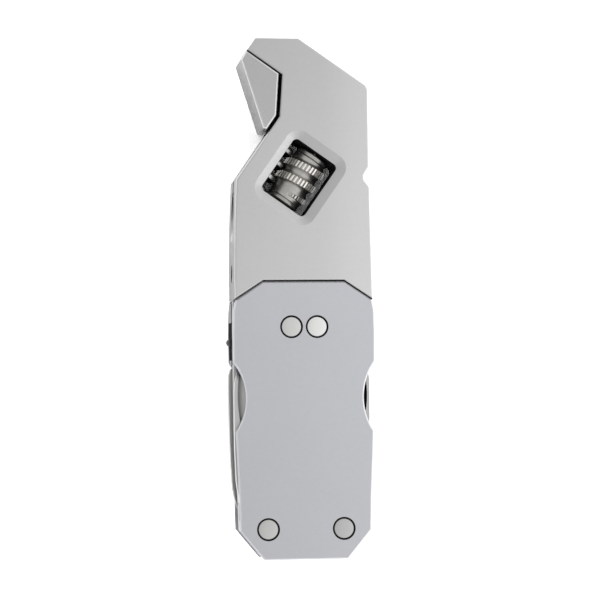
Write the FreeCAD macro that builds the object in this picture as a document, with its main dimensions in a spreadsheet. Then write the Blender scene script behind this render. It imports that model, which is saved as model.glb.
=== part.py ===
import FreeCAD, Part
import math
import os
import Sketcher

os.makedirs("parts", exist_ok=True)
doc = FreeCAD.newDocument("wrench_multi_tool")
V = FreeCAD.Vector

# ---------------------------------------------------------------- sizes (mm)
sheet = doc.addObject("Spreadsheet::Sheet", "sizes")
SIZES = [
    ("total_thick", 12.0), ("scale_thick", 1.4), ("scale_bevel", 0.3),
    ("core_base", 5.6), ("core_thick", 2.5),
    ("front_layer_base", 8.1), ("front_layer_thick", 2.5),
    ("front_tool_base", 8.2), ("front_tool_thick", 2.3),
    ("rear_tool_base", 1.5), ("opener_thick", 2.5), ("driver_thick", 3.8),
    ("rear_spring_base", 4.4), ("rear_spring_thick", 1.2),
    ("torch_base", 1.4), ("torch_thick", 2.9), ("torch_switch_thick", 4.2),
    ("pivot_across", 7.61), ("pivot_down", 45.69),
    ("upper_pin_across", 2.58), ("upper_pin_down", 5.34),
    ("pin_radius", 1.25), ("pin_hole_radius", 1.26), ("tool_hole_radius", 1.3),
    ("head_radius", 2.0), ("head_recess_radius", 2.3), ("head_recess_deep", 0.9),
    ("tang_radius", 3.9), ("jaw_angle", 55.0),
    ("window_along", 12.6), ("window_across", 10.45), ("window_corner", 1.0),
    ("window_mouth_along", 16.35), ("window_mouth_across", 13.9), ("window_bevel_deep", 1.1),
    ("worm_offset", 10.35), ("worm_crest_radius", 4.3), ("worm_root_radius", 3.42),
    ("worm_collar_radius", 3.5), ("worm_length", 11.8), ("worm_pitch", 3.15),
    ("worm_hole_radius", 1.06), ("worm_pin_radius", 1.0), ("worm_pin_hole_radius", 1.01),
    ("rack_offset", 4.1), ("rack_radius", 2.6), ("rack_bore_radius", 2.68),
    ("neck_thick", 2.2), ("neck_slot_thick", 2.36),
    ("edge_bevel", 0.25), ("edge_round", 0.4), ("jaw_edge_round", 0.5), ("cell_radius", 4.75), ("cell_thick", 2.7),
    ("lens_radius", 1.1), ("washer_outer", 2.6), ("washer_thick", 1.5),
    ("nub_radius", 0.75),
]
for row, (alias, value) in enumerate(SIZES, start=1):
    sheet.set("A%d" % row, alias)
    sheet.set("B%d" % row, str(value))
    sheet.setAlias("B%d" % row, alias)
doc.recompute()


def size(alias):
    return float(getattr(sheet, alias))


T = size("total_thick")
PX, PY = size("pivot_across"), size("pivot_down")
UX, UY = size("upper_pin_across"), size("upper_pin_down")

# wrench directions: A closes the jaw, B runs square to it into the body
ANG = math.radians(size("jaw_angle"))
A = V(math.cos(ANG), math.sin(ANG), 0)
B = V(math.sin(ANG), -math.cos(ANG), 0)
WRENCH_ZERO = V(-9.028, 30.554, 0)


def wr(a, b, z=0.0):
    """A point given along the jaw's travel, square to it, and up."""
    return WRENCH_ZERO + A * a + B * b + V(0, 0, z)


def xy(points):
    return [(p.x, p.y) for p in points]


# ---------------------------------------------------------------- helpers
def new_body(name):
    body = doc.addObject("PartDesign::Body", name)
    body.Label = name
    return body


def plane_of(body, role="XY_Plane"):
    return [f for f in body.Origin.OriginFeatures if f.Role == role][0]


def new_sketch(body, name, z=0.0, placement=None, role="XY_Plane"):
    s = body.newObject("Sketcher::SketchObject", name)
    s.AttachmentSupport = [(plane_of(body, role), "")]
    s.MapMode = "FlatFace"
    s.AttachmentOffset = placement if placement else FreeCAD.Placement(V(0, 0, z), FreeCAD.Rotation())
    return s


def loop(s, pts):
    """A closed outline. An item (x, y) is a corner; ('arc', mx, my) makes the next span an arc through that point."""
    clean = []
    for i, p in enumerate(pts):
        clean.append(p)
    spans = []
    n = len(clean)
    i = 0
    corners = [(k, p) for k, p in enumerate(clean) if p[0] != "arc"]
    for j, (k, p) in enumerate(corners):
        k2, q = corners[(j + 1) % len(corners)]
        mid = None
        nxt = (k + 1) % n
        if clean[nxt][0] == "arc":
            mid = clean[nxt][1:]
        spans.append((p, mid, q))
    first = s.GeometryCount
    for p, mid, q in spans:
        P, Q = V(p[0], p[1], 0), V(q[0], q[1], 0)
        if mid is None:
            s.addGeometry(Part.LineSegment(P, Q), False)
        else:
            s.addGeometry(Part.Arc(P, V(mid[0], mid[1], 0), Q), False)
    return first, len(spans)


def circle(s, x, y, r_alias):
    r = size(r_alias)
    g = s.addGeometry(Part.Circle(V(x, y, 0), V(0, 0, 1), r), False)
    c = s.addConstraint(Sketcher.Constraint("Radius", g, r))
    s.setExpression("Constraints[%d]" % c, "sizes.%s" % r_alias)
    return g


def pad(body, s, alias, name, direction=None, midplane=False):
    f = body.newObject("PartDesign::Pad", name)
    f.Profile = s
    f.Length = size(alias)
    f.setExpression("Length", "sizes.%s" % alias)
    f.Midplane = midplane
    if direction is not None:
        f.UseCustomVector = True
        f.Direction = direction
        f.AlongSketchNormal = False
    s.Visibility = False
    doc.recompute()
    return f


def pocket(body, s, name, alias=None, through=False, rev=False, midplane=False, length=None):
    before = body.Shape.Volume
    f = body.newObject("PartDesign::Pocket", name)
    f.Profile = s
    if through:
        f.Type = 1
        f.Midplane = midplane
    elif alias:
        f.Length = size(alias)
        f.setExpression("Length", "sizes.%s" % alias)
    else:
        f.Length = length
    f.Midplane = midplane
    f.Reversed = rev
    s.Visibility = False
    doc.recompute()
    if not body.Shape.Volume < before - 1e-4:
        print("NO CUT:", body.Name, name)
    return f


def edges_at(shape, z, tol=1e-3, keep=None):
    names = []
    for i, e in enumerate(shape.Edges, start=1):
        zs = [v.Z for v in e.Vertexes] + [e.valueAt((e.FirstParameter + e.LastParameter) / 2).z]
        if all(abs(q - z) < tol for q in zs):
            mid = e.valueAt((e.FirstParameter + e.LastParameter) / 2)
            if keep is None or keep(mid, e):
                names.append("Edge%d" % i)
    return names


def bevel(body, base, names, alias, name, soft=False):
    f = body.newObject("PartDesign::Fillet" if soft else "PartDesign::Chamfer", name)
    f.Base = (base, names)
    length = "Radius" if soft else "Size"
    setattr(f, length, size(alias))
    f.setExpression(length, "sizes.%s" % alias)
    doc.recompute()
    if f.State and any(q in ("Invalid", "Error") for q in f.State) or f.Shape.isNull() or not f.Shape.isValid():
        print("BEVEL FAILED:", body.Name, name, f.State)
        body.removeObject(f)
        doc.removeObject(f.Name)
        body.Tip = base
        doc.recompute()
        return base
    return f


def rounded(center_a, center_b, half_a, half_b, r):
    """A rounded rectangle turned to the jaw's travel, as outline items."""
    def p(a, b):
        q = wr(center_a + a, center_b + b)
        return (q.x, q.y)
    k = r * (1 - math.sqrt(0.5))
    c, d = half_a, half_b
    out = []
    for sa, sb, flip in ((1, 1, 0), (1, -1, 1), (-1, -1, 0), (-1, 1, 1)):
        one = p(sa * (c - r), sb * d)
        two = p(sa * c, sb * (d - r))
        mid = p(sa * (c - k), sb * (d - k))
        if flip:
            one, two = two, one
        out += [one, ("arc",) + mid, two]
    return out


# axis-along-A sketch placement: sketch normal points along -A
def across_travel(a, b, toward_opening=True):
    zdir = A * (-1 if toward_opening else 1)
    xdir = B
    ydir = zdir.cross(xdir)
    rot = FreeCAD.Rotation(xdir, ydir, zdir, "ZXY")
    p = wr(a, b, T / 2)
    return FreeCAD.Placement(p, rot)


# ---------------------------------------------------------------- wrench body
wb = new_body("wrench_body")
gap = 0.2
head = [
    (-9.3, 52.71), (-0.6, 52.71), (12.97, 43.33), (13.42, 42.45), (13.48, 26.75),
    (12.42, 25.05), (12.47, 24.2), (13.56, 22.7), (13.68, 16.8), (13.8, 9.6), (13.98, 0.1),
    (8.18, 3.77 + gap), (-8.18, 3.77 + gap), (-13.9, 0.05 + gap),
    (-13.93, 3.7), (-13.87, 10.0), (-13.79, 15.0), (-13.53, 21.2), (-13.38, 24.2),
] + xy([wr(7.75, 0), wr(15.03, -4.35), wr(15.03, -12.93)])
s = new_sketch(wb, "head_outline")
loop(s, head)
f = pad(wb, s, "total_thick", "head_block")
f = bevel(wb, f, edges_at(f.Shape, T) + edges_at(f.Shape, 0.0), "edge_round", "head_edges", True)
shank = [
    (13.7, 2.0), (13.85, -1.0), (13.95, -12.0), (13.2, -14.0), (12.6, -16.0), (12.6, -23.0),
    (13.2, -26.0), (13.3, -32.5), (13.05, -39.7), (12.95, -46.0), (8.3, -51.6),
    (-8.3, -51.6), (-12.95, -46.0), (-13.15, -39.7), (-13.45, -32.5), (-13.8, -26.0), (-13.9, -14.0),
    (-13.95, -6.0), (-13.9, 2.0), (-13.6, 4.5), (13.5, 4.5),
]
s = new_sketch(wb, "shank_outline")
s.setExpression("AttachmentOffset.Base.z", "sizes.core_base")
loop(s, shank)
for x, y in ((-PX, -PY), (PX, -PY), (-UX, -UY), (UX, -UY)):
    circle(s, x, y, "pin_hole_radius")
f = pad(wb, s, "core_thick", "shank_plate")
# worm window with its wide bevels, front and rear
s = new_sketch(wb, "window_outline")
ha, hb, rc = size("window_along") / 2, size("window_across") / 2, size("window_corner")
ma, mb, deep = size("window_mouth_along") / 2, size("window_mouth_across") / 2, size("window_bevel_deep")
WB, MB = 10.28, 10.45
loop(s, rounded(0, WB, ha, hb, rc))
pocket(wb, s, "window_cut", through=True, midplane=True)
for tag, z0, z1 in (("front", T, T - deep), ("rear", 0.0, deep)):
    s1 = new_sketch(wb, "window_%s_mouth" % tag, z0)
    loop(s1, rounded(0, MB, ma, mb, rc + 1.9))
    s2 = new_sketch(wb, "window_%s_floor" % tag, z1)
    loop(s2, rounded(0, WB, ha, hb, rc))
    vol = wb.Shape.Volume
    l = wb.newObject("PartDesign::SubtractiveLoft", "window_%s_bevel" % tag)
    l.Profile = s1
    l.Sections = [s2]
    l.Ruled = True
    doc.recompute()
    print("window", tag, vol - wb.Shape.Volume, l.State)
# rack bore, running from beside the throat out through the left side
s = new_sketch(wb, "rack_bore_circle", placement=across_travel(9.9, size("rack_offset")))
circle(s, 0, 0, "rack_bore_radius")
pocket(wb, s, "rack_bore", length=40.0, rev=True)
# slot for the jaw's neck
s = new_sketch(wb, "neck_slot_outline", T / 2)
loop(s, xy([wr(7.78, -2.0), wr(7.78, 3.0), wr(-26, 3.0), wr(-26, -2.0)]))
pocket(wb, s, "neck_slot", alias="neck_slot_thick", midplane=True)
# worm pin hole, drilled from the left side
s = new_sketch(wb, "worm_pin_circle", placement=across_travel(9.0, size("worm_offset")))
circle(s, 0, 0, "worm_pin_hole_radius")
pocket(wb, s, "worm_pin_hole", length=45.0, rev=True)

# ---------------------------------------------------------------- movable jaw
mj = new_body("movable_jaw")
jaw = xy([wr(14.88, -12.88), wr(14.88, -4.95), wr(7.55, -0.55), wr(4.15, -0.55), wr(3.85, -1.25), wr(12.7, -12.75)])
s = new_sketch(mj, "jaw_outline")
loop(s, jaw)
f = pad(mj, s, "total_thick", "jaw_block")
f = bevel(mj, f, edges_at(f.Shape, T) + edges_at(f.Shape, 0.0), "jaw_edge_round", "jaw_edges", True)
s = new_sketch(mj, "neck_outline", T / 2)
loop(s, xy([wr(7.5, -1.6), wr(7.5, 3.4), wr(4.6, 3.4), wr(4.6, -1.6)]))
f = pad(mj, s, "neck_thick", "neck", midplane=True)
s = new_sketch(mj, "rack_circle", placement=across_travel(9.6, size("rack_offset")))
circle(s, 0, 0, "rack_radius")
f = mj.newObject("PartDesign::Pad", "rack_bar")
f.Profile = s
f.Length = 16.0
doc.recompute()
# slanted rack grooves that follow the worm's lead
lead = size("worm_pitch") / (2 * math.pi * 3.85)
pitch = size("worm_pitch")
TIP, ROOT = size("rack_offset") + size("rack_radius"), 5.2
GROOVE_A = -1.2          # middle of the rack groove nearest the worm's middle, level with the worm axis
groove = new_sketch(mj, "rack_grooves", T / 2)
for k in (-2, -1, 0, 1, 2, 3):
    c = GROOVE_A + k * pitch
    loop(groove, xy([wr(c - 0.8, ROOT), wr(c + 0.8, ROOT), wr(c + 1.28, TIP + 0.6), wr(c - 1.28, TIP + 0.6)]))
before = mj.Shape.Volume
f = mj.newObject("PartDesign::Pocket", "rack_teeth")
f.Profile = groove
f.Length = 8.0
f.Midplane = True
f.UseCustomVector = True
f.Direction = V(0, 0, 1) + A * lead
f.AlongSketchNormal = True
doc.recompute()
print("rack cut", before - mj.Shape.Volume, f.State)

# ---------------------------------------------------------------- worm
wo = new_body("worm")
L = size("worm_length")
root, collar, hole = size("worm_root_radius"), size("worm_collar_radius"), size("worm_hole_radius")
# profile plane holds the axis: sketch x = outward, sketch y = along the axis
zdir = B.cross(A)
prof = FreeCAD.Placement(wr(0, size("worm_offset"), T / 2), FreeCAD.Rotation(B, A, zdir, "ZXY"))
s = new_sketch(wo, "worm_profile", placement=prof)
h = L / 2
loop(s, [(hole, -h), (collar - 0.35, -h), (collar, -h + 0.35), (collar, -h + 1.05), (root, -h + 1.5),
         (root, h - 1.5), (collar, h - 1.05), (collar, h - 0.35), (collar - 0.35, h), (hole, h)])
f = wo.newObject("PartDesign::Revolution", "worm_core")
f.Profile = s
f.ReferenceAxis = (s, ["V_Axis"])
f.Angle = 360
doc.recompute()
rack_side = FreeCAD.Placement(wr(0, size("worm_offset"), T / 2), FreeCAD.Rotation(B * -1, A, zdir * -1, "ZXY"))
s = new_sketch(wo, "thread_profile", placement=rack_side)
crest = size("worm_crest_radius")
START = GROOVE_A - pitch - 0.05
loop(s, [(root - 0.25, START - 0.86), (crest, START - 0.52), (crest, START + 0.52), (root - 0.25, START + 0.86)])
f = wo.newObject("PartDesign::AdditiveHelix", "thread")
f.Profile = s
f.ReferenceAxis = (s, ["V_Axis"])
f.Mode = 0
f.Pitch = pitch
f.Height = 8.1
f.LeftHanded = False
f.Reversed = False
doc.recompute()
print("worm", wo.Shape.Volume, f.State, wo.Shape.isValid())

# ---------------------------------------------------------------- worm pin and washer
s_body = new_body("worm_pin")
s = new_sketch(s_body, "pin_circle", placement=across_travel(8.9, size("worm_offset")))
circle(s, 0, 0, "worm_pin_radius")
f = s_body.newObject("PartDesign::Pad", "pin_rod")
f.Profile = s
f.Length = 30.6
doc.recompute()
ww = new_body("worm_washer")
s = new_sketch(ww, "washer_ring", placement=across_travel(-h - 0.05, size("worm_offset")))
circle(s, 0, 0, "worm_hole_radius")
g = s.addGeometry(Part.Circle(V(0, 0, 0), V(0, 0, 1), 2.4), False)
s.addConstraint(Sketcher.Constraint("Radius", g, 2.4))
f = ww.newObject("PartDesign::Pad", "washer_disc")
f.Profile = s
f.Length = 0.3
doc.recompute()

# ---------------------------------------------------------------- scales
SCALE = [
    (-8.22, 3.7), (8.22, 3.7), (13.8, 0.0), (14.2, -2.0), (14.32, -6.5), (14.25, -12.35),
    ("arc", 11.9, -19.35), (13.9, -26.25),
    (13.65, -32.5), (13.32, -39.7), (13.17, -46.05), (8.42, -51.8),
    (-8.42, -51.8), (-13.17, -46.05), (-13.32, -39.7), (-13.65, -32.5), (-13.9, -26.25),
    ("arc", -11.9, -19.35), (-14.25, -12.35), (-14.32, -6.5), (-14.2, -2.0), (-13.8, 0.0),
]
for name, base_z, outer_z, inner_dir in (("front_scale", T - size("scale_thick"), T, 1), ("rear_scale", 0.0, 0.0, -1)):
    sb = new_body(name)
    s = new_sketch(sb, name + "_outline", base_z)
    loop(s, SCALE)
    f = pad(sb, s, "scale_thick", name + "_plate")
    f = bevel(sb, f, edges_at(f.Shape, outer_z), "scale_bevel", name + "_edges")
    s = new_sketch(sb, name + "_pin_holes")
    for x, y in ((-PX, -PY), (PX, -PY), (-UX, -UY), (UX, -UY)):
        circle(s, x, y, "pin_hole_radius")
    pocket(sb, s, name + "_pin_bores", through=True, midplane=True)
    s = new_sketch(sb, name + "_head_recess", outer_z)
    for x, y in ((-PX, -PY), (PX, -PY), (-UX, -UY), (UX, -UY)):
        circle(s, x, y, "head_recess_radius")
    pocket(sb, s, name + "_recesses", alias="head_recess_deep", rev=(name == "rear_scale"))

# ---------------------------------------------------------------- pins (two of each, same make)
def pins(name, across, down):
    b = new_body(name)
    b.AllowCompound = True
    r, hr, rec = size("pin_radius"), size("head_radius"), size("head_recess_deep")
    f = None
    rot = FreeCAD.Rotation(V(1, 0, 0), V(0, 0, 1), V(0, -1, 0), "ZXY")
    for k, x in enumerate((-across, across)):
        s = new_sketch(b, "%s_profile_%d" % (name, k), placement=FreeCAD.Placement(V(x, -down, 0), rot))
        loop(s, [(0, 0.08), (0.35, 0.08), ("arc", hr * 0.62, 0.11), (hr, 0.22), (hr, rec), (r, rec), (r, T - rec), (hr, T - rec),
                 (hr, T - 0.18), ("arc", hr * 0.62, T - 0.05), (0.35, T), (0, T)])
        f = b.newObject("PartDesign::Revolution", "%s_turned_%d" % (name, k))
        f.Profile = s
        f.ReferenceAxis = (s, ["V_Axis"])
        f.Angle = 360
        doc.recompute()
    print(name, len(b.Shape.Solids), b.Shape.Volume)
    return b


pins("pivot_pins", PX, PY)
pins("upper_pins", UX, UY)

# ---------------------------------------------------------------- spring plates
def spring_outline(top, left, right):
    pts = []
    t = size("tang_radius")
    def q(side, r, deg):
        a = math.radians(deg)
        return (side * PX - side * r * math.cos(a), -PY + r * math.sin(a))
    # right arm then left arm, going round from the lower right
    pts = list(top)
    pts += [right, (4.6, -13.0), (3.6, -24.0), (3.9, -36.0), (4.9, -40.0)]
    pts += [q(1, t + 0.95, 66), q(1, t + 0.12, 78), ("arc",) + q(1, t + 0.12, 58), q(1, t + 0.12, 38), (2.6, -40.0), (1.9, -36.0), (1.5, -24.0), (1.4, -15.2)]
    pts += [(-1.4, -15.2), (-1.5, -24.0), (-1.9, -36.0), (-2.6, -40.0), q(-1, t + 0.12, 38), ("arc",) + q(-1, t + 0.12, 58), q(-1, t + 0.12, 78), q(-1, t + 0.95, 66)]
    pts += [(-4.9, -40.0), (-3.9, -36.0), (-3.6, -24.0), (-4.6, -13.0), left]
    return pts


for name, zed, thick, top, left, right in (
    ("front_spring_plate", "front_layer_base", "front_layer_thick",
     [(-13.85, -11.0), (-13.9, -6.0), (-13.78, -0.3), (-8.1, 3.62), (8.1, 3.62), (13.75, -0.3), (13.9, -6.0), (13.85, -11.0)],
     (-13.8, -13.0), (13.75, -13.0)),
    ("rear_spring_plate", "rear_spring_base", "rear_spring_thick",
     [(-4.6, -11.0), (-4.6, 3.6), (8.1, 3.6), (13.5, -0.3), (13.5, -11.0)],
     (-4.6, -12.6), (13.4, -13.0)),
):
    b = new_body(name)
    s = new_sketch(b, name + "_outline")
    s.setExpression("AttachmentOffset.Base.z", "sizes." + zed)
    loop(s, spring_outline(top, left, right))
    circle(s, -UX, -UY, "pin_hole_radius")
    circle(s, UX, -UY, "pin_hole_radius")
    pad(b, s, thick, name + "_sheet")

# ---------------------------------------------------------------- folding tools
def around(side, deg, r=None):
    """A point on the tang; angles from the handle's outer side, going up and inward. side +1 is the right."""
    r = size("tang_radius") if r is None else r
    a = math.radians(deg)
    return (side * PX + side * r * math.cos(a), -PY + r * math.sin(a))


def tool(name, side, zed, thick, outline, start_deg, end_deg):
    """A flat tool: its outline from the tang's outer side up and back down to the inner side, then the round tang."""
    b = new_body(name)
    s = new_sketch(b, name + "_outline")
    s.setExpression("AttachmentOffset.Base.z", "sizes." + zed)
    low = (start_deg - (360 - end_deg)) / 2.0
    pts = [around(side, start_deg)] + list(outline) + [around(side, end_deg), ("arc",) + around(side, low)]
    loop(s, pts)
    circle(s, side * PX, -PY, "tool_hole_radius")
    f = pad(b, s, thick, name + "_plate")
    return b, f


FT0, FT1 = size("front_tool_base"), size("front_tool_base") + size("front_tool_thick")
# knife blade, front left
kb, f = tool("knife_blade", -1, "front_tool_base", "front_tool_thick", [
    (-13.2, -40.2), (-13.75, -36.0), (-13.98, -30.0), (-14.02, -24.0), (-14.02, -18.2), (-13.85, -16.2), (-13.45, -14.4), (-12.7, -13.55),
    (-11.6, -13.9), (-9.9, -16.4), (-9.0, -20.0), (-8.7, -24.0), (-8.6, -37.2), (-7.9, -38.6), (-7.3, -39.9)], 18, 80)
ch = kb.newObject("PartDesign::Chamfer", "knife_grind")
def on_edge(mid, e):
    return -12.4 < mid.x < -8.3 and -37.0 < mid.y < -13.6
ch.Base = (f, edges_at(f.Shape, FT1, keep=on_edge) + edges_at(f.Shape, FT0, keep=on_edge))
ch.ChamferType = "Two distances"
ch.Size = 1.0
ch.Size2 = 2.3
doc.recompute()
okay = not any(q in ("Invalid", "Error") for q in ch.State) and not ch.Shape.isNull() and ch.Shape.isValid()
print("knife grind", okay, f.Shape.Volume, ch.Shape.Volume if okay else None)
if not okay:
    doc.removeObject(ch.Name)
    kb.Tip = f
    doc.recompute()


def nick(body, name, side, x0, y0, deep, slope, pts):
    """A nail nick: deepest along its outer edge, and rising inward at the slope (degrees) until it meets the flat."""
    k = math.radians(slope)
    xdir = V(-side * math.cos(k), 0, math.sin(k))
    zdir = V(side * math.sin(k), 0, math.cos(k))
    rot = FreeCAD.Rotation(xdir, zdir.cross(xdir), zdir, "ZXY")
    s = new_sketch(body, name, placement=FreeCAD.Placement(V(x0, y0, FT1 - deep), rot))
    loop(s, pts)
    pocket(body, s, name + "_cut", length=3.0, rev=True)


nick(kb, "nail_nick", -1, -12.62, -19.3, 1.15, 25.0, [
    (0.15, 5.6), (0.0, 3.6), ("arc", -0.22, -0.2), (0.03, -3.5), (0.3, -5.6), ("arc", 2.6, 0.0)])

# saw blade, front right
sbb, f = tool("saw_blade", 1, "front_tool_base", "front_tool_thick", [
    (12.5, -40.6), (13.05, -36.0), (13.25, -30.0), (13.25, -16.0), (13.0, -14.2), (12.3, -13.5), (9.4, -13.5), (8.7, -14.2), (8.6, -15.5)]
    + [p for k in range(14) for p in ((8.6, -15.5 - 1.5 * k - 0.05), (9.45, -15.5 - 1.5 * k - 0.95), (8.6, -15.5 - 1.5 * k - 1.45))]
    + [(8.6, -37.2), (7.9, -38.6), (7.3, -39.9)], 18, 80)
nick(sbb, "saw_nick", 1, 12.62, -18.9, 1.9, 4.0, [(0.25, 3.2), ("arc", 0.0, 0.0), (0.25, -3.2), ("arc", 2.4, 0.0)])

# bottle opener with a flat driver tip, rear left
bo, f = tool("bottle_opener", -1, "rear_tool_base", "opener_thick", [
    (-13.0, -41.5), (-13.55, -39.6), (-13.9, -37.6), (-14.18, -33.0), (-14.35, -28.0), (-14.45, -22.0), (-14.52, -17.0), (-14.45, -14.9), (-14.1, -13.7),
    (-13.6, -13.3), (-9.4, -13.3), (-8.6, -14.6), (-8.4, -18.0), (-9.2, -18.9), (-10.6, -19.3), (-11.5, -20.6), (-11.6, -23.0), (-11.0, -24.6),
    (-9.6, -25.6), (-8.3, -25.4), (-7.9, -26.8), (-8.0, -37.6), (-7.8, -38.6), (-7.3, -39.9)], 18, 80)

# phillips driver, rear right: flat shank that runs into a round cross tip
pd, f = tool("cross_driver", 1, "rear_tool_base", "driver_thick", [
    (12.2, -41.0), (12.45, -38.5), (12.4, -33.5), (11.9, -32.6), (8.7, -32.6), (8.2, -33.5), (8.1, -38.5), (7.3, -39.9)], 18, 80)
zc = size("rear_tool_base") + size("driver_thick") / 2
s = new_sketch(pd, "driver_rod_profile", placement=FreeCAD.Placement(V(10.3, 0, zc), FreeCAD.Rotation()))
loop(s, [(0, -33.0), (1.85, -33.0), (1.85, -18.6), (0.55, -14.3), (0, -14.0)])
f = pd.newObject("PartDesign::Revolution", "driver_rod")
f.Profile = s
f.ReferenceAxis = (s, ["V_Axis"])
f.Angle = 360
doc.recompute()
# four V flutes of the cross tip
yrot = FreeCAD.Rotation(V(1, 0, 0), V(0, 0, -1), V(0, 1, 0), "ZXY")
s = new_sketch(pd, "cross_flutes", placement=FreeCAD.Placement(V(10.3, -13.5, zc), yrot))
for k in range(4):
    a = math.radians(45 + 90 * k)
    def r2(u, v):
        return (u * math.cos(a) - v * math.sin(a), u * math.sin(a) + v * math.cos(a))
    loop(s, [r2(0.55, 0.0), r2(2.4, 1.35), r2(2.4, -1.35)])
pocket(pd, s, "cross_flute_cuts", length=4.6)

# spacer ring that fills the rear layer beside the thin opener
wa = new_body("pivot_spacer")
s = new_sketch(wa, "spacer_ring", size("rear_tool_base") + size("opener_thick") + 0.06)
circle(s, -PX, -PY, "pin_hole_radius")
circle(s, -PX, -PY, "washer_outer")
pad(wa, s, "washer_thick", "spacer_disc")

# ---------------------------------------------------------------- torch in the rear layer
to = new_body("torch_housing")
s = new_sketch(to, "torch_outline")
s.setExpression("AttachmentOffset.Base.z", "sizes.torch_base")
loop(s, [(-14.1, -0.5), (-13.75, -0.15), (-8.0, 3.55), (8.0, 3.55), (13.6, -0.15), (13.9, -1.2), (13.9, -12.9), (-14.1, -12.9), (-14.15, -6.5)])
circle(s, -UX, -UY, "pin_hole_radius")
circle(s, UX, -UY, "pin_hole_radius")
f = pad(to, s, "torch_thick", "torch_frame")
s = new_sketch(to, "switch_block_outline")
s.setExpression("AttachmentOffset.Base.z", "sizes.torch_base")
loop(s, [(-14.1, -0.5), (-13.75, -0.15), (-8.0, 3.55), (-4.8, 3.55), (-4.8, -12.9), (-14.1, -12.9), (-14.15, -6.5)])
f = pad(to, s, "torch_switch_thick", "switch_block")
# switch slot in the left edge, and the room behind it
s = new_sketch(to, "switch_slot", 2.0)
loop(s, [(-16, -4.35), (-12.9, -4.35), (-12.9, -3.9), (-9.6, -3.9), (-9.6, -12.3), (-12.9, -12.3), (-12.9, -11.85), (-16, -11.85)])
pocket(to, s, "switch_slot_cut", length=3.1, rev=True)
# cell room, open to the scale
s = new_sketch(to, "cell_room", size("torch_base"))
g = s.addGeometry(Part.Circle(V(8.75, -7.9, 0), V(0, 0, 1), size("cell_radius") + 0.1), False)
s.addConstraint(Sketcher.Constraint("Radius", g, size("cell_radius") + 0.1))
pocket(to, s, "cell_room_cut", length=2.86, rev=True)
# lens seat in the right edge
xrot = FreeCAD.Rotation(V(0, 1, 0), V(0, 0, 1), V(1, 0, 0), "ZXY")
s = new_sketch(to, "lens_seat", placement=FreeCAD.Placement(V(13.9, -1.75, size("torch_base") + 1.45), xrot))
circle(s, 0, 0, "lens_radius")
pocket(to, s, "lens_seat_cut", length=3.2)
s = new_sketch(to, "contact_groove", size("torch_base"))
loop(s, [(-9.7, -9.1), (4.2, -9.1), (4.2, -8.1), (-9.7, -8.1)])
pocket(to, s, "contact_groove_cut", length=0.45, rev=True)

lens = new_body("torch_lens")
s = new_sketch(lens, "lens_profile", placement=FreeCAD.Placement(V(0, -1.75, size("torch_base") + 1.45), FreeCAD.Rotation()))
lr = size("lens_radius")
loop(s, [(10.75, 0), (10.75, lr), (13.45, lr), ("arc", 13.83, lr * 0.66), (13.98, 0.25), (13.98, 0)])
f = lens.newObject("PartDesign::Revolution", "lens_turned")
f.Profile = s
f.ReferenceAxis = (s, ["H_Axis"])
f.Angle = 360
doc.recompute()

cell = new_body("button_cell")
s = new_sketch(cell, "cell_can", size("torch_base") + 0.05)
g = s.addGeometry(Part.Circle(V(8.75, -7.9, 0), V(0, 0, 1), size("cell_radius")), False)
c = s.addConstraint(Sketcher.Constraint("Radius", g, size("cell_radius")))
s.setExpression("Constraints[%d]" % c, "sizes.cell_radius")
f = pad(cell, s, "cell_thick", "cell_disc")
f = bevel(cell, f, edges_at(f.Shape, size("torch_base") + 0.05), "edge_bevel", "cell_edge")

strip = new_body("contact_strip")
s = new_sketch(strip, "strip_outline", size("torch_base") + 0.08)
loop(s, [(-9.4, -9.0), (3.8, -9.0), (3.8, -8.2), (-9.4, -8.2)])
f = strip.newObject("PartDesign::Pad", "strip_sheet")
f.Profile = s
f.Length = 0.3
doc.recompute()

sw = new_body("switch_slider")
s = new_sketch(sw, "slider_outline", 2.12)
loop(s, [(-12.8, -7.0), (-9.9, -7.0), (-9.9, -9.6), (-12.8, -9.6)])
f = sw.newObject("PartDesign::Pad", "slider_block")
f.Profile = s
f.Length = 2.8
doc.recompute()
s = new_sketch(sw, "nub_profile", placement=FreeCAD.Placement(V(0, -8.3, 3.5), FreeCAD.Rotation()))
nr = size("nub_radius")
loop(s, [(-12.6, 0), (-12.6, 0.5), (-13.75, 0.5), (-14.0, nr - 0.05), (-14.25, nr), ("arc", -14.74, nr * 0.72), (-14.95, 0.15), (-14.95, 0)])
f = sw.newObject("PartDesign::Revolution", "nub_turned")
f.Profile = s
f.ReferenceAxis = (s, ["H_Axis"])
f.Angle = 360
doc.recompute()

# ---------------------------------------------------------------- checks and export
NODES = [
    "wrench_body", "movable_jaw", "worm", "worm_pin", "worm_washer", "front_scale", "rear_scale",
    "front_spring_plate", "rear_spring_plate", "pivot_pins", "upper_pins", "pivot_spacer",
    "knife_blade", "saw_blade", "bottle_opener", "cross_driver",
    "torch_housing", "torch_lens", "button_cell", "contact_strip", "switch_slider",
]
doc.recompute()
bad = []
for o in doc.Objects:
    if any(q in ("Invalid", "Error") for q in o.State):
        bad.append((o.Name, o.State))
for n in NODES:
    b = doc.getObject(n)
    if b.Shape.isNull() or not b.Shape.isValid():
        bad.append((n, "shape"))
print("bad:", bad)
if bad:
    raise SystemExit("invalid objects: %s" % bad)
for n in NODES:
    b = doc.getObject(n)
    print("%-20s solids %d vol %9.3f  x %.2f..%.2f y %.2f..%.2f z %.2f..%.2f" % (
        n, len(b.Shape.Solids), b.Shape.Volume, b.Shape.BoundBox.XMin, b.Shape.BoundBox.XMax,
        b.Shape.BoundBox.YMin, b.Shape.BoundBox.YMax, b.Shape.BoundBox.ZMin, b.Shape.BoundBox.ZMax))
    b.Shape.exportStep("parts/%s.step" % n)
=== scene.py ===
import bpy
import math
import numpy as np
from mathutils import Matrix, Vector


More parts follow.
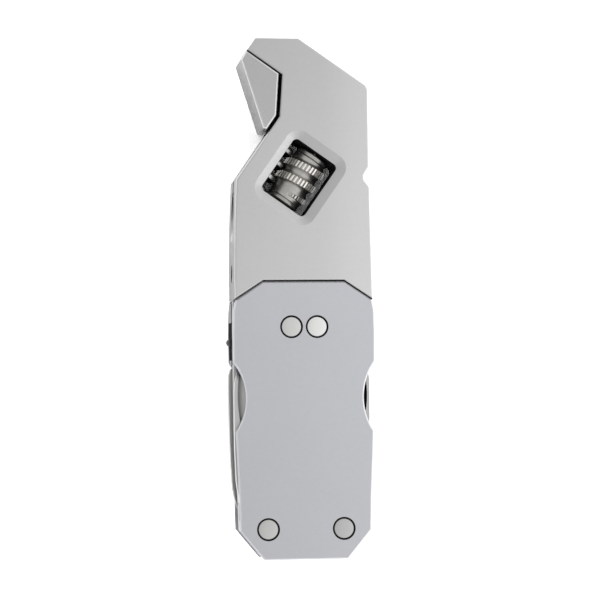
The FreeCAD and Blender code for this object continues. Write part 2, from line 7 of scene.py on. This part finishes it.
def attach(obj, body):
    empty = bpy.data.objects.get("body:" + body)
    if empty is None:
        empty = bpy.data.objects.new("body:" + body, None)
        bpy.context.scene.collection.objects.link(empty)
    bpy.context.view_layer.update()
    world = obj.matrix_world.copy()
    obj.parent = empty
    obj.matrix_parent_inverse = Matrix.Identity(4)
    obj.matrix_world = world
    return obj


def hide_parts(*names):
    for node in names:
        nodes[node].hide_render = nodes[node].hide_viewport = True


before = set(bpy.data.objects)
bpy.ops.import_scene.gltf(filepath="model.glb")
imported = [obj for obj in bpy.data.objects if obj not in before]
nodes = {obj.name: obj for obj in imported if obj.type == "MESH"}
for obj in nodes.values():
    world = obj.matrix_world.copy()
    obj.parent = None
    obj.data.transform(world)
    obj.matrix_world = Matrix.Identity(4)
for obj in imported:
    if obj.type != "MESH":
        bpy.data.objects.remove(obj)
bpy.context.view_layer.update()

MM = 0.001
scene = bpy.context.scene

# ------------------------------------------------------------------ wrench directions
ANG = math.radians(55.0)
A = np.array([math.cos(ANG), math.sin(ANG), 0.0])
B = np.array([math.sin(ANG), -math.cos(ANG), 0.0])
ZERO = np.array([-9.028, 30.554, 0.0])


# ------------------------------------------------------------------ materials
class Mat:
    """A small builder for procedural metal and plastic."""

    def __init__(self, name):
        self.m = bpy.data.materials.new(name)
        self.m.use_nodes = True
        self.t = self.m.node_tree
        self.t.nodes.clear()
        self.out = self.t.nodes.new("ShaderNodeOutputMaterial")
        self.p = self.t.nodes.new("ShaderNodeBsdfPrincipled")
        self.t.links.new(self.p.outputs[0], self.out.inputs[0])
        self.co = self.t.nodes.new("ShaderNodeTexCoord")

    def node(self, kind, **props):
        n = self.t.nodes.new(kind)
        for k, v in props.items():
            setattr(n, k, v)
        return n

    def link(self, a, b):
        self.t.links.new(a, b)

    def mapping(self, scale=(1, 1, 1), rot=(0, 0, 0), loc=(0, 0, 0)):
        n = self.node("ShaderNodeMapping")
        n.inputs["Scale"].default_value = scale
        n.inputs["Rotation"].default_value = rot
        n.inputs["Location"].default_value = loc
        self.link(self.co.outputs["Object"], n.inputs["Vector"])
        return n.outputs[0]

    def noise(self, vec, scale, detail=4.0, rough=0.55, dist=0.0):
        n = self.node("ShaderNodeTexNoise")
        n.inputs["Scale"].default_value = scale
        n.inputs["Detail"].default_value = detail
        n.inputs["Roughness"].default_value = rough
        n.inputs["Distortion"].default_value = dist
        self.link(vec, n.inputs["Vector"])
        return n.outputs["Fac"]

    def remap(self, fac, a, b, lo, hi):
        n = self.node("ShaderNodeMapRange")
        n.inputs["From Min"].default_value = a
        n.inputs["From Max"].default_value = b
        n.inputs["To Min"].default_value = lo
        n.inputs["To Max"].default_value = hi
        self.link(fac, n.inputs["Value"])
        return n.outputs[0]

    def math(self, op, a, b=None):
        n = self.node("ShaderNodeMath", operation=op)
        for i, v in enumerate((a, b)):
            if v is None:
                continue
            if isinstance(v, (int, float)):
                n.inputs[i].default_value = v
            else:
                self.link(v, n.inputs[i])
        return n.outputs[0]

    def tint(self, fac, c0, c1):
        n = self.node("ShaderNodeMix", data_type="RGBA")
        n.inputs[6].default_value = (*c0, 1)
        n.inputs[7].default_value = (*c1, 1)
        self.link(fac, n.inputs[0])
        return n.outputs[2]

    def bump(self, height, strength, distance, after=None):
        n = self.node("ShaderNodeBump")
        n.inputs["Strength"].default_value = strength
        n.inputs["Distance"].default_value = distance
        self.link(height, n.inputs["Height"])
        if after is not None:
            self.link(after, n.inputs["Normal"])
        return n.outputs[0]

    def set(self, **values):
        for k, v in values.items():
            self.p.inputs[k.replace("_", " ")].default_value = v

    def along(self, d, origin=(0.0, 0.0, 0.0)):
        """Millimetres along a direction from a point of the piece."""
        s = self.node("ShaderNodeVectorMath", operation="SUBTRACT")
        self.link(self.co.outputs["Object"], s.inputs[0])
        s.inputs[1].default_value = [q * MM for q in origin]
        n = self.node("ShaderNodeVectorMath", operation="DOT_PRODUCT")
        self.link(s.outputs[0], n.inputs[0])
        n.inputs[1].default_value = [q / MM for q in d]
        return n.outputs["Value"]

    def step(self, value, a0, a1):
        n = self.node("ShaderNodeMapRange", interpolation_type="SMOOTHSTEP")
        n.inputs["From Min"].default_value = min(a0, a1)
        n.inputs["From Max"].default_value = max(a0, a1)
        n.inputs["To Min"].default_value, n.inputs["To Max"].default_value = (0.0, 1.0) if a1 > a0 else (1.0, 0.0)
        self.link(value, n.inputs["Value"])
        return n.outputs[0]

    def between(self, value, lo, hi, soft=0.06):
        return self.math("MULTIPLY", self.step(value, lo - soft, lo + soft), self.step(value, hi + soft, hi - soft))

    def facing(self, axis):
        """How squarely the surface faces along a direction, from -1 to 1."""
        g = self.node("ShaderNodeNewGeometry")
        tr = self.node("ShaderNodeVectorTransform", vector_type="NORMAL", convert_from="WORLD", convert_to="OBJECT")
        self.link(g.outputs["True Normal"], tr.inputs[0])
        n = self.node("ShaderNodeVectorMath", operation="DOT_PRODUCT")
        self.link(tr.outputs[0], n.inputs[0])
        n.inputs[1].default_value = axis
        return n.outputs["Value"]

    def shade(self, mask, k):
        """Multiplies the colour by k where mask is 1."""
        f = self.math("ADD", self.math("MULTIPLY", mask, k - 1.0), 1.0)

        def times(old):
            n = self.node("ShaderNodeVectorMath", operation="SCALE")
            self.link(old, n.inputs[0])
            self.link(f, n.inputs["Scale"])
            return n.outputs[0]
        self.rewire("Base Color", times)

    def rewire(self, socket, make):
        """Puts a new value, made from the present one, on a linked socket."""
        s = self.p.inputs[socket]
        s_from = s.links[0].from_socket
        self.link(make(s_from), s)

    def paint_shade_or_highlight(self, mask, color, rough):
        """Paints shade (near-black) or a highlight (brighter metal) over the colour where mask is 1, with its own
        roughness.
        """
        def over(old):
            n = self.node("ShaderNodeMix", data_type="RGBA")
            self.link(mask, n.inputs[0])
            self.link(old, n.inputs[6])
            n.inputs[7].default_value = (*color, 1)
            return n.outputs[2]

        def over_r(old):
            n = self.node("ShaderNodeMix", data_type="FLOAT")
            self.link(mask, n.inputs[0])
            self.link(old, n.inputs[2])
            n.inputs[3].default_value = rough
            return n.outputs[0]
        self.rewire("Base Color", over)
        self.rewire("Roughness", over_r)

    def fade(self, gx, gy, y0=0.0):
        """A slow change of tone over the piece, as a share per millimetre in x and y: painted light and shade, lighter
        where more light falls.
        """
        v = self.math("ADD", self.math("MULTIPLY", self.along((1, 0, 0)), gx),
                      self.math("MULTIPLY", self.along((0, 1, 0), (0, y0, 0)), gy))
        k = self.math("ADD", v, 1.0)

        def times(old):
            n = self.node("ShaderNodeVectorMath", operation="SCALE")
            self.link(old, n.inputs[0])
            self.link(k, n.inputs["Scale"])
            return n.outputs[0]
        self.rewire("Base Color", times)


def scaled(c, k):
    return tuple(min(1.0, q * k) for q in c)


def metal(name, color, rough=0.36, grain=0.25, lines=0.0, line_dir=0.0, vary=0.05, metallic=1.0, pits=0.15):
    """Satin metal: clouded tone, fine blasted grain, and faint drawn lines along line_dir (radians)."""
    b = Mat(name)
    plain = b.mapping()
    cloud = b.noise(plain, 55.0, 3.0, 0.5)
    fine = b.noise(plain, 5200.0, 2.0, 0.6)
    mid = b.noise(plain, 900.0, 3.0, 0.6)
    turned = b.mapping(scale=(160.0, 9000.0, 160.0), rot=(0, 0, -line_dir))
    drawn = b.noise(turned, 1.0, 3.0, 0.6)
    tone = b.math("ADD", b.remap(cloud, 0.3, 0.7, -vary, vary), b.remap(fine, 0.3, 0.7, -0.03, 0.03))
    tone = b.math("ADD", tone, b.remap(drawn, 0.3, 0.7, -0.05 * lines, 0.05 * lines))
    fac = b.remap(tone, -0.12, 0.12, 0.0, 1.0)
    b.link(b.tint(fac, scaled(color, 0.90), scaled(color, 1.10)), b.p.inputs["Base Color"])
    r = b.math("ADD", b.remap(mid, 0.3, 0.7, rough - 0.04, rough + 0.04), b.remap(drawn, 0.3, 0.7, -0.03 * lines, 0.05 * lines))
    b.link(r, b.p.inputs["Roughness"])
    h = b.math("ADD", b.math("MULTIPLY", fine, grain), b.math("MULTIPLY", drawn, lines * 0.6))
    h = b.math("ADD", h, b.math("MULTIPLY", mid, pits))
    b.link(b.bump(h, 0.35, 0.00002), b.p.inputs["Normal"])
    b.set(Metallic=metallic)
    BUILD[name] = b
    return b.m


BUILD = {}


def plastic(name, color, rough=0.5, metallic=0.0):
    b = Mat(name)
    plain = b.mapping()
    mid = b.noise(plain, 2600.0, 3.0, 0.6)
    cloud = b.noise(plain, 120.0, 2.0, 0.5)
    b.link(b.tint(b.remap(cloud, 0.3, 0.7, 0.0, 1.0), scaled(color, 0.86), scaled(color, 1.14)), b.p.inputs["Base Color"])
    b.link(b.remap(mid, 0.3, 0.7, rough - 0.06, rough + 0.06), b.p.inputs["Roughness"])
    b.link(b.bump(mid, 0.3, 0.00002), b.p.inputs["Normal"])
    b.set(Metallic=metallic)
    BUILD[name] = b
    return b.m


M = {
    "wrench": metal("wrench_satin", (0.462, 0.462, 0.462), 0.40, grain=0.4, lines=0.35, line_dir=math.radians(90), vary=0.02),
    "jaw": metal("jaw_satin", (0.39, 0.39, 0.393), 0.38, grain=0.4, lines=0.3, line_dir=math.radians(72), vary=0.02),
    "scale": metal("scale_satin", (0.434, 0.439, 0.461), 0.42, grain=0.35, lines=0.15, line_dir=math.radians(90), vary=0.015),
    "pin": metal("pin_turned", (0.50, 0.50, 0.495), 0.34, grain=0.3, lines=0.1, vary=0.06),
    "plain": metal("pin_plain", (0.46, 0.46, 0.455), 0.36, grain=0.3, lines=0.1, vary=0.06),
    "tool": metal("tool_ground", (0.40, 0.40, 0.395), 0.34, grain=0.2, lines=0.6, line_dir=0.0, vary=0.04),
    "spring": metal("spring_ground", (0.37, 0.37, 0.37), 0.38, grain=0.2, lines=0.4, line_dir=math.radians(90), vary=0.04),
    "worm": metal("worm_turned", (0.47, 0.46, 0.437), 0.40, grain=0.12, lines=0.0, vary=0.05),
    "torch": plastic("torch_plastic", (0.17, 0.17, 0.172), 0.5),
    "cell": metal("cell_plate", (0.7, 0.7, 0.69), 0.22, grain=0.1, vary=0.04),
    "brass": metal("strip_brass", (0.75, 0.58, 0.28), 0.28, grain=0.1, vary=0.05),
    "nub": metal("switch_steel", (0.10, 0.10, 0.105), 0.35, grain=0.2, vary=0.05),
}
b = Mat("lens_clear")
v = b.noise(b.mapping(), 900.0, 2.0, 0.5)
b.link(b.bump(v, 0.2, 0.00001), b.p.inputs["Normal"])
b.link(b.remap(v, 0.3, 0.7, 0.05, 0.12), b.p.inputs["Roughness"])
b.set(Base_Color=(0.95, 0.96, 1.0, 1), Transmission_Weight=0.9, IOR=1.45)
M["lens"] = b.m

# painted shade: near-black on the walls of the worm window and the rack bore and in the jaw track; and painted light,
# the wrench lighter to the right and lower down
w = BUILD["wrench_satin"]
w.fade(0.0044, -0.0025, 25.0)
wa, wb_, wz = w.along(A, ZERO), w.along(B, ZERO), w.along((0, 0, 1), (0, 0, 6))
deep = w.math("MULTIPLY", w.between(wa, -6.42, 6.37), w.between(wb_, 4.98, 15.58))
deep = w.math("MULTIPLY", deep, w.between(wz, -4.86, 4.86, 0.04))
bore = w.math("MULTIPLY", w.between(wb_, 1.3, 6.9), w.between(wz, -2.72, 2.72, 0.05))
bore = w.math("MULTIPLY", bore, w.between(wa, -9.6, 10.2, 1.6))
track = w.math("MULTIPLY", w.between(wb_, -0.3, 3.2, 0.03), w.between(wz, -5.8, 5.8, 0.05))
track = w.math("MULTIPLY", track, w.between(wa, 3.6, 8.2, 0.3))
# painted shade on the faces that the scales and tools hide, where shade falls between the parts
wy, wz0 = w.along((0, 1, 0)), w.along((0, 0, 1))
upright = w.step(w.math("ABSOLUTE", w.facing((0, 0, 1))), 0.35, 0.2)
seam = w.math("MULTIPLY", w.math("MULTIPLY", w.step(w.facing((0, -1, 0)), 0.3, 0.5), upright), w.between(wy, -0.5, 4.45, 0.15))
inner = w.math("MULTIPLY", w.between(wy, -44.0, -11.5, 0.4), w.between(w.along((1, 0, 0)), -13.3, 13.3, 0.05))
inner = w.math("MULTIPLY", inner, w.math("MULTIPLY", w.between(wz0, 5.3, 8.4, 0.05), w.step(w.math("ABSOLUTE", w.facing((0, 0, 1))), 0.6, 0.8)))
# painted shade on the upright faces
w.shade(upright, 0.66)


def off_axis(w):
    """Distance from the worm's axis."""
    u, v = w.math("SUBTRACT", w.along(B, ZERO), 10.35), w.along((0, 0, 1), (0, 0, 6))
    return w.math("SQRT", w.math("ADD", w.math("MULTIPLY", u, u), w.math("MULTIPLY", v, v)))


# painted shade in the worm pin's hole
pin_hole = w.math("MULTIPLY", w.step(off_axis(w), 1.08, 1.04), w.step(wa, -15.0, -16.0))
dark = w.math("MAXIMUM", w.math("MAXIMUM", deep, bore), w.math("MAXIMUM", track, w.math("MAXIMUM", seam, inner)))
dark = w.math("MAXIMUM", dark, pin_hole)
# painted shade on the bevels round the worm window
brim = w.math("MULTIPLY", w.between(wa, -8.4, 8.4), w.between(wb_, 3.3, 17.6))
brim = w.math("MULTIPLY", brim, w.step(w.math("ABSOLUTE", w.facing((0, 0, 1))), 0.97, 0.93))
w.shade(brim, 0.93)
# painted light on the throat wall that faces the jaw, and on the right of the wrench
w.shade(w.math("MULTIPLY", w.math("MULTIPLY", upright, w.step(w.facing(tuple(-B)), 0.7, 0.9)), w.step(wa, 3.6, 3.0)), 1.9)
w.shade(w.step(w.along((1, 0, 0)), 3.0, 12.0), 1.07)
# painted shade on the left side, deepest on the head
left_side = w.math("MULTIPLY", upright, w.step(w.facing((-1, 0, 0)), 0.6, 0.9))
w.shade(left_side, 0.70)
w.shade(w.math("MULTIPLY", left_side, w.step(wy, -0.6, -0.3)), 0.68)
w.shade(w.math("MULTIPLY", left_side, w.between(wy, -0.6, 11.0, 3.0)), 0.80)
# the painted shade of the walls, the track, the seam, the core and the pin hole is laid on here in near-black
w.paint_shade_or_highlight(dark, (0.03, 0.029, 0.028), 0.75)

# painted light and shade on the jaw: lighter to the right and lower, the rack painted near-black, and painted
# highlights on the tooth tips
w = BUILD["jaw_satin"]
w.fade(0.0036, -0.0025, 36.0)
w.paint_shade_or_highlight(w.math("MULTIPLY", w.step(w.along(B, ZERO), -0.5, -0.4), w.step(w.along(A, ZERO), -9.0, -8.0)), (0.03, 0.03, 0.03), 0.7)
tooth = w.math("PINGPONG", w.math("MULTIPLY", w.math("ADD", w.along(A, ZERO), 2.75), 1 / 3.15), 0.5)
tip = w.math("MULTIPLY", w.step(tooth, 0.15, 0.07), w.between(w.along(B, ZERO), 5.2, 6.6, 0.2))
w.paint_shade_or_highlight(tip, (0.34, 0.34, 0.33), 0.42)
slant = w.math("ABSOLUTE", w.facing((0, 0, 1)))
to_body = w.facing(tuple(B))
# painted highlights on the edge fillets; painted shade on the left side, in the throat gap and on the upright faces
w.shade(w.math("MULTIPLY", w.step(w.facing((-0.95, -0.31, 0)), 0.12, 0.25), w.between(slant, 0.5, 0.985, 0.01)), 1.38)
w.shade(w.math("MULTIPLY", w.step(w.facing((-0.95, -0.31, 0)), 0.6, 0.8), w.step(slant, 0.35, 0.2)), 0.54)
w.shade(w.math("MULTIPLY", w.step(w.math("MAXIMUM", to_body, w.facing((1, 0, 0))), 0.06, 0.2), w.between(slant, 0.72, 0.995, 0.01)), 1.5)
w.paint_shade_or_highlight(w.math("MULTIPLY", w.step(to_body, 0.6, 0.8), w.step(slant, 0.5, 0.3)), (0.03, 0.03, 0.03), 0.8)
w.shade(w.step(w.math("ABSOLUTE", w.facing((0, 0, 1))), 0.35, 0.2), 0.82)

# painted shade: dark rings round the sunk rivet heads
PINS = ((-7.61, -45.69), (7.61, -45.69), (-2.58, -5.34), (2.58, -5.34))


def near_pins(w, radius, soft, inner=True):
    best = None
    for x, y in PINS:
        n = w.node("ShaderNodeVectorMath", operation="DISTANCE")
        flat = w.node("ShaderNodeVectorMath", operation="MULTIPLY")
        w.link(w.co.outputs["Object"], flat.inputs[0])
        flat.inputs[1].default_value = (1000.0, 1000.0, 0.0)
        w.link(flat.outputs[0], n.inputs[0])
        n.inputs[1].default_value = (x, y, 0.0)
        best = n.outputs["Value"] if best is None else w.math("MINIMUM", best, n.outputs["Value"])
    return w.step(best, radius + soft, radius - soft) if inner else w.step(best, radius - soft, radius + soft)


w = BUILD["scale_satin"]
# painted light and shade on the scales: a slow tone change, near-black painted shade in the seam under the head and on
# the rivet recess walls, and painted light on the rear scale's low upright faces
w.fade(0.0028, 0.001, -24.0)
seam = w.math("MULTIPLY", w.step(w.along((0, 1, 0)), -0.6, -0.3), w.step(w.math("ABSOLUTE", w.facing((0, 0, 1))), 0.35, 0.2))
low_edge = w.math("MULTIPLY", w.step(w.along((0, 0, 1)), 1.6, 1.3), w.step(w.math("ABSOLUTE", w.facing((0, 0, 1))), 0.35, 0.2))
w.shade(low_edge, 2.1)
w.paint_shade_or_highlight(seam, (0.05, 0.05, 0.05), 0.55)
w.paint_shade_or_highlight(w.math("MULTIPLY", near_pins(w, 2.34, 0.02), w.between(w.along((0, 0, 1), (0, 0, 6)), -5.95, 5.95, 0.02)), (0.03, 0.03, 0.03), 0.6)
w = BUILD["pin_turned"]
# painted light and shade on the rivets: lighter towards the top, and near-black painted shade round the head rims
w.fade(0.0, 0.0042, -12.0)
side = w.math("MULTIPLY", near_pins(w, 1.90, 0.04, False), w.between(w.along((0, 0, 1), (0, 0, 6)), -5.88, 5.88, 0.03))
w.paint_shade_or_highlight(side, (0.055, 0.055, 0.055), 0.6)
# the colour of one rivet is raised a little, and of another lowered a little
w.shade(w.math("MULTIPLY", w.step(w.along((1, 0, 0)), 0.0, 0.1), w.step(w.along((0, 1, 0)), -20.0, -19.0)), 1.24)
w.shade(w.math("MULTIPLY", w.step(w.along((1, 0, 0)), 0.0, 0.1), w.step(w.along((0, 1, 0)), -19.0, -20.0)), 0.92)
w = BUILD["pin_plain"]
# painted shade in the worm pin's hole
w.paint_shade_or_highlight(w.math("MULTIPLY", w.step(off_axis(w), 1.2, 1.1), w.step(w.along(A, ZERO), -21.3, -21.5)), (0.02, 0.02, 0.02), 0.6)
w = BUILD["worm_turned"]
# painted highlight on the crests, and painted shade in the hollows
w.shade(w.step(off_axis(w), 3.98, 4.14), 1.5)
hollow = w.step(off_axis(w), 3.95, 3.80)
w.shade(hollow, 0.88)
# dirt smeared in the hollows
smear = w.noise(w.mapping(), 620.0, 4.0, 0.62, 0.6)
w.shade(w.math("MULTIPLY", hollow, w.remap(smear, 0.42, 0.62, 0.0, 1.0)), 0.82)
# painted shade in the hollows toward the lower end, and a painted highlight on the third ring
w.shade(w.math("MULTIPLY", hollow, w.step(w.along(A, ZERO), -0.8, -4.4)), 0.93)
w.shade(w.math("MULTIPLY", w.between(w.along(A, ZERO), -4.3, -2.8, 0.1), w.between(off_axis(w), 3.68, 3.98, 0.05)), 1.6)

# the torch housing is silvered outside its switch window; the window is painted near-black, as painted shade in the
# slot
w = BUILD["torch_plastic"]
w.paint_shade_or_highlight(w.between(w.along((0, 1, 0)), -11.9, -4.3, 0.05), (0.006, 0.006, 0.006), 0.8)

# painted shade: the saw's deep nick is near-black at the bottom, and painted light makes the other nick a little
# lighter
w = BUILD["tool_ground"]
nick = w.math("MULTIPLY", w.between(w.along((1, 0, 0)), 9.5, 12.9, 0.05), w.between(w.along((0, 1, 0)), -24.0, -14.5, 0.3))
w.paint_shade_or_highlight(w.math("MULTIPLY", nick, w.between(w.along((0, 0, 1)), 8.5, 10.35, 0.1)), (0.04, 0.04, 0.04), 0.5)
nick = w.math("MULTIPLY", w.between(w.along((1, 0, 0)), -12.95, -9.5, 0.05), w.between(w.along((0, 1, 0)), -25.2, -13.6, 0.1))
w.shade(w.math("MULTIPLY", nick, w.between(w.along((0, 0, 1)), 9.3, 10.45, 0.04)), 1.1)

FINISH = {
    "wrench_body": "wrench", "movable_jaw": "jaw", "worm_pin": "plain", "worm_washer": "plain",
    "front_scale": "scale", "rear_scale": "scale", "front_spring_plate": "spring", "rear_spring_plate": "spring",
    "pivot_pins": "pin", "upper_pins": "pin", "pivot_spacer": "plain", "knife_blade": "tool", "saw_blade": "tool",
    "bottle_opener": "tool", "cross_driver": "tool", "torch_housing": "torch", "torch_lens": "lens",
    "button_cell": "cell", "contact_strip": "brass", "switch_slider": "nub", "worm": "worm",
}


def dress(o, mat, angle=28.0):
    """Gives a CAD piece its finish, with its flat faces flat and its turned faces smooth."""
    o.data.materials.clear()
    o.data.materials.append(mat)
    w = o.modifiers.new("weld", "WELD")
    w.merge_threshold = 0.000002
    for p in o.data.polygons:
        p.use_smooth = True
    e = o.modifiers.new("split", "EDGE_SPLIT")
    e.split_angle = math.radians(angle)
    wn = o.modifiers.new("flat_faces", "WEIGHTED_NORMAL")
    wn.weight = 90


for n, o in nodes.items():
    dress(o, M[FINISH[n]])


def mesh_object(name, verts, faces, mat, smooth=True, angle=None):
    me = bpy.data.meshes.new(name)
    me.from_pydata([tuple(v) for v in verts], [], faces)
    me.update()
    o = bpy.data.objects.new(name, me)
    scene.collection.objects.link(o)
    me.materials.append(mat)
    for p in me.polygons:
        p.use_smooth = smooth
    if angle:
        e = o.modifiers.new("split", "EDGE_SPLIT")
        e.split_angle = math.radians(angle)
    return o


# ------------------------------------------------------------------ the knurled worm
def smooth01(x):
    x = np.clip(x, 0.0, 1.0)
    return x * x * (3 - 2 * x)


def build_worm():
    crest, root, collar = 4.28, 3.42, 3.5
    length, pitch = 11.8, 3.15
    n_phi, n_a = 476, 204
    phi = np.linspace(0, 2 * math.pi, n_phi, endpoint=False)        # 0 faces +Z, 90 degrees faces B
    a = np.linspace(-length / 2, length / 2, n_a)
    P, AA = np.meshgrid(phi, a, indexing="ij")
    # helical crest: its middle at the front of turn k is at -0.53 + pitch * k
    base = -0.53 + pitch * P / (2 * math.pi)
    near = np.full_like(P, 9.0)
    level = np.zeros_like(P)
    for k in (-2, -1, 0, 1, 2):
        c = base + pitch * k
        turn = P + 2 * math.pi * k                                   # unrolled angle of this crest
        here = smooth01((turn - math.radians(-400)) / math.radians(190)) * (1 - smooth01((turn - math.radians(430)) / math.radians(70)))
        d = np.abs(AA - c)
        level = np.where(d < near, here, level)
        near = np.minimum(near, d)
    # a hollow groove between the turns, and a sharp-sided crest
    lift = np.clip((pitch / 2 - near) / (pitch / 2 - 0.78), 0, 1)
    groove = root + 0.46 * level * lift ** 2
    side = 1 - smooth01((near - 0.20 - 0.47 * level) / 0.12)
    radius = groove + (crest - groove) * side * level
    knurl = (1 - smooth01((near - 0.16 - 0.42 * level) / 0.14)) * smooth01((level - 0.04) / 0.3)
    notch = smooth01((0.5 + 0.5 * np.cos(P * 34) - 0.45) / 0.34)
    radius = radius - knurl * notch * 0.40
    # collars: a step, a shallow hollow and a rounded rim
    x = np.abs(AA)
    rim = np.where(AA > 0, 5.45, 5.26)
    in_collar = smooth01((x - 4.58) / 0.10)
    dish = collar - 0.16 * np.sin(np.clip((x - 4.68) / (rim - 4.78), 0, 1) * math.pi)
    over = np.clip((x - rim - 0.06) / (length / 2 - rim - 0.06), 0, 1)
    dish = dish - 0.62 * (1 - np.sqrt(np.clip(1 - over ** 2, 0, 1)))
    radius = radius * (1 - in_collar) + dish * in_collar
    # the whole threaded part stays off the rack
    centre = ZERO + B * 10.35 + np.array([0, 0, 6.0])
    verts = []
    zed = np.array([0.0, 0.0, 1.0])
    ring = np.cos(P)[..., None] * zed + np.sin(P)[..., None] * B
    pts = centre + AA[..., None] * A + radius[..., None] * ring
    verts = (pts.reshape(-1, 3) * MM).tolist()
    faces = []
    for i in range(n_phi):
        j = (i + 1) % n_phi
        for k in range(n_a - 1):
            faces.append((i * n_a + k, j * n_a + k, j * n_a + k + 1, i * n_a + k + 1))
    # end faces in to the pin's hole, and the hole's wall
    hole = 1.06
    base_i = len(verts)
    for s, k in ((-1, 0), (1, n_a - 1)):
        for rr in (2.3, hole):
            q = centre + s * (length / 2) * A + rr * (np.cos(phi)[:, None] * zed + np.sin(phi)[:, None] * B)
            verts += (q * MM).tolist()
    def band(f, g, flip):
        for i in range(n_phi):
            j = (i + 1) % n_phi
            q = (f(i), f(j), g(j), g(i))
            faces.append(q if not flip else q[::-1])
    lo_outer, lo_in1, lo_in2 = (lambda i: i * n_a), (lambda i: base_i + i), (lambda i: base_i + n_phi + i)
    hi_outer, hi_in1, hi_in2 = (lambda i: i * n_a + n_a - 1), (lambda i: base_i + 2 * n_phi + i), (lambda i: base_i + 3 * n_phi + i)
    band(lo_outer, lo_in1, True)
    band(lo_in1, lo_in2, True)
    band(hi_outer, hi_in1, False)
    band(hi_in1, hi_in2, False)
    band(lo_in2, hi_in2, True)
    o = mesh_object("worm_knurled", verts, faces, M["worm"], True, 40)
    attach(o, "worm")
    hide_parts("worm")
    return o


build_worm()

# ------------------------------------------------------------------ floor, light and camera
floor_m = Mat("floor_pale")
fv = floor_m.noise(floor_m.mapping(), 3.0, 2.0, 0.5)
floor_m.link(floor_m.tint(fv, (1.83, 1.83, 1.83), (1.87, 1.87, 1.87)), floor_m.p.inputs["Base Color"])
floor_m.set(Roughness=0.9)
S = 3.0
floor = mesh_object("floor", [(-S, -S, -0.00015), (S, -S, -0.00015), (S, S, -0.00015), (-S, S, -0.00015)], [(0, 1, 2, 3)], floor_m.m, False)

world = bpy.data.worlds.new("studio")
scene.world = world
world.use_nodes = True
wt = world.node_tree
wt.nodes.clear()
wo = wt.nodes.new("ShaderNodeOutputWorld")
bg = wt.nodes.new("ShaderNodeBackground")
wt.links.new(bg.outputs[0], wo.inputs[0])
tc = wt.nodes.new("ShaderNodeTexCoord")


def wnode(kind, **props):
    n = wt.nodes.new(kind)
    for k, v in props.items():
        setattr(n, k, v)
    return n


def wramp(value, a0, a1, lo, hi, kind="SMOOTHSTEP"):
    n = wnode("ShaderNodeMapRange", interpolation_type=kind)
    for k, v in (("From Min", a0), ("From Max", a1), ("To Min", lo), ("To Max", hi)):
        n.inputs[k].default_value = v
    wt.links.new(value, n.inputs["Value"])
    return n.outputs[0]


def wmath(op, a0, a1):
    n = wnode("ShaderNodeMath", operation=op)
    for i, v in enumerate((a0, a1)):
        if isinstance(v, (int, float)):
            n.inputs[i].default_value = v
        else:
            wt.links.new(v, n.inputs[i])
    return n.outputs[0]


# a white tent: even overhead, brighter to the lower right, dimmer to the upper left, brightest low down all round
side = wnode("ShaderNodeVectorMath", operation="DOT_PRODUCT")
side.inputs[1].default_value = Vector((0.98, -0.20, 0.0)).normalized()
wt.links.new(tc.outputs["Generated"], side.inputs[0])
height = wnode("ShaderNodeSeparateXYZ")
wt.links.new(tc.outputs["Generated"], height.inputs[0])
sweep = wramp(side.outputs["Value"], -0.75, 0.85, 0.82, 1.48, "LINEAR")
rim = wramp(height.outputs["Z"], 0.30, 0.02, 0.0, 0.95)
wt.links.new(wmath("ADD", sweep, rim), bg.inputs["Strength"])
bg.inputs["Color"].default_value = (1, 1, 1, 1)


def area(name, loc, target, size, power):
    d = bpy.data.lights.new(name, "AREA")
    d.shape = "RECTANGLE"
    d.size, d.size_y = size
    d.energy = power
    o = bpy.data.objects.new(name, d)
    scene.collection.objects.link(o)
    o.location = loc
    o.rotation_euler = (Vector(target) - Vector(loc)).to_track_quat("-Z", "Y").to_euler()
    return o


area("key_soft", (0.42, -0.21, 0.20), (0.0, 0.0, 0.0), (0.34, 0.34), 0.16)

scene.view_settings.view_transform = "Standard"
scene.view_settings.look = "None"

cam_d = bpy.data.cameras.new("cam")
cam_d.sensor_width = 36.0
cam_d.lens = 2330.81 / 600 * 36.0
cam_d.clip_start = 0.01
cam_d.clip_end = 50
cam = bpy.data.objects.new("cam", cam_d)
scene.collection.objects.link(cam)
R = Vector((0.9917741, -0.0104331, 0.1275746))
U = Vector((0.0051867, 0.9991297, 0.0413879))
F = Vector((0.1278954, 0.0403858, -0.9909651))
m = Matrix((R, U, -F)).transposed().to_4x4()
m.translation = Vector((-0.06045478, -0.01882936, 0.47402351))
cam.matrix_world = m
scene.camera = cam
